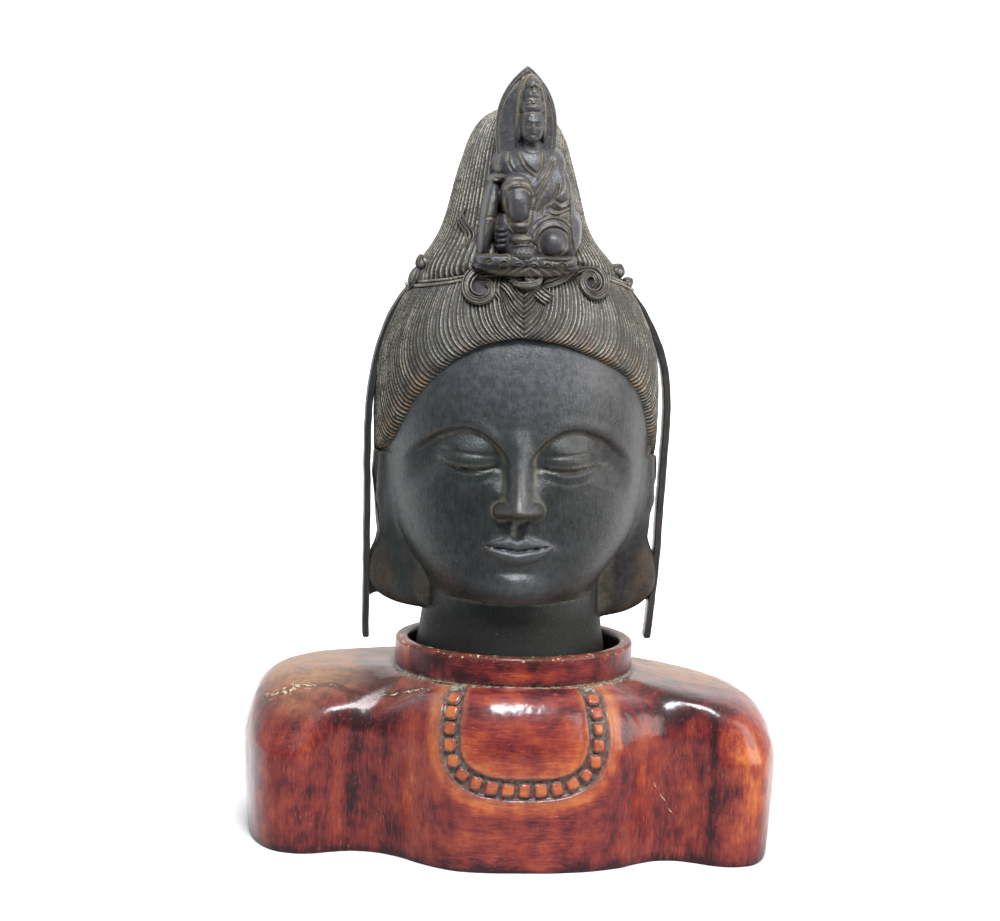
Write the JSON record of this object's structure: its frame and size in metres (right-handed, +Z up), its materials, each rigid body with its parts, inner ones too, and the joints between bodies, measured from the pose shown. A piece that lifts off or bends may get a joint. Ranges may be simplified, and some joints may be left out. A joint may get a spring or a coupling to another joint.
{
  "type": "buddha head with shoulder stand",
  "caption": "Cast bronze head of a bodhisattva with a tall topknot, a seated crown figure and hanging ribbons, standing in the round collar of a carved wooden shoulder stand.",
  "frame": {"origin": "middle of the stand's underside, under the middle of the collar", "axes": "+Z up, the face looks along -Y, +X is to the right of a viewer who faces it"},
  "size_m": [0.2728, 0.1605, 0.3982],
  "materials": {
    "dark_bronze": "near-black patinated cast bronze, satin, with pale dust in the grooves of the hair",
    "lacquered_wood": "glossy red-brown lacquer over carved wood, worn orange on the raised beads and dark in the hollows"
  },
  "bodies": {
    "root": {"guanyin_head": "dark_bronze", "shoulder_stand": "lacquered_wood"}
  },
  "joints": []
}
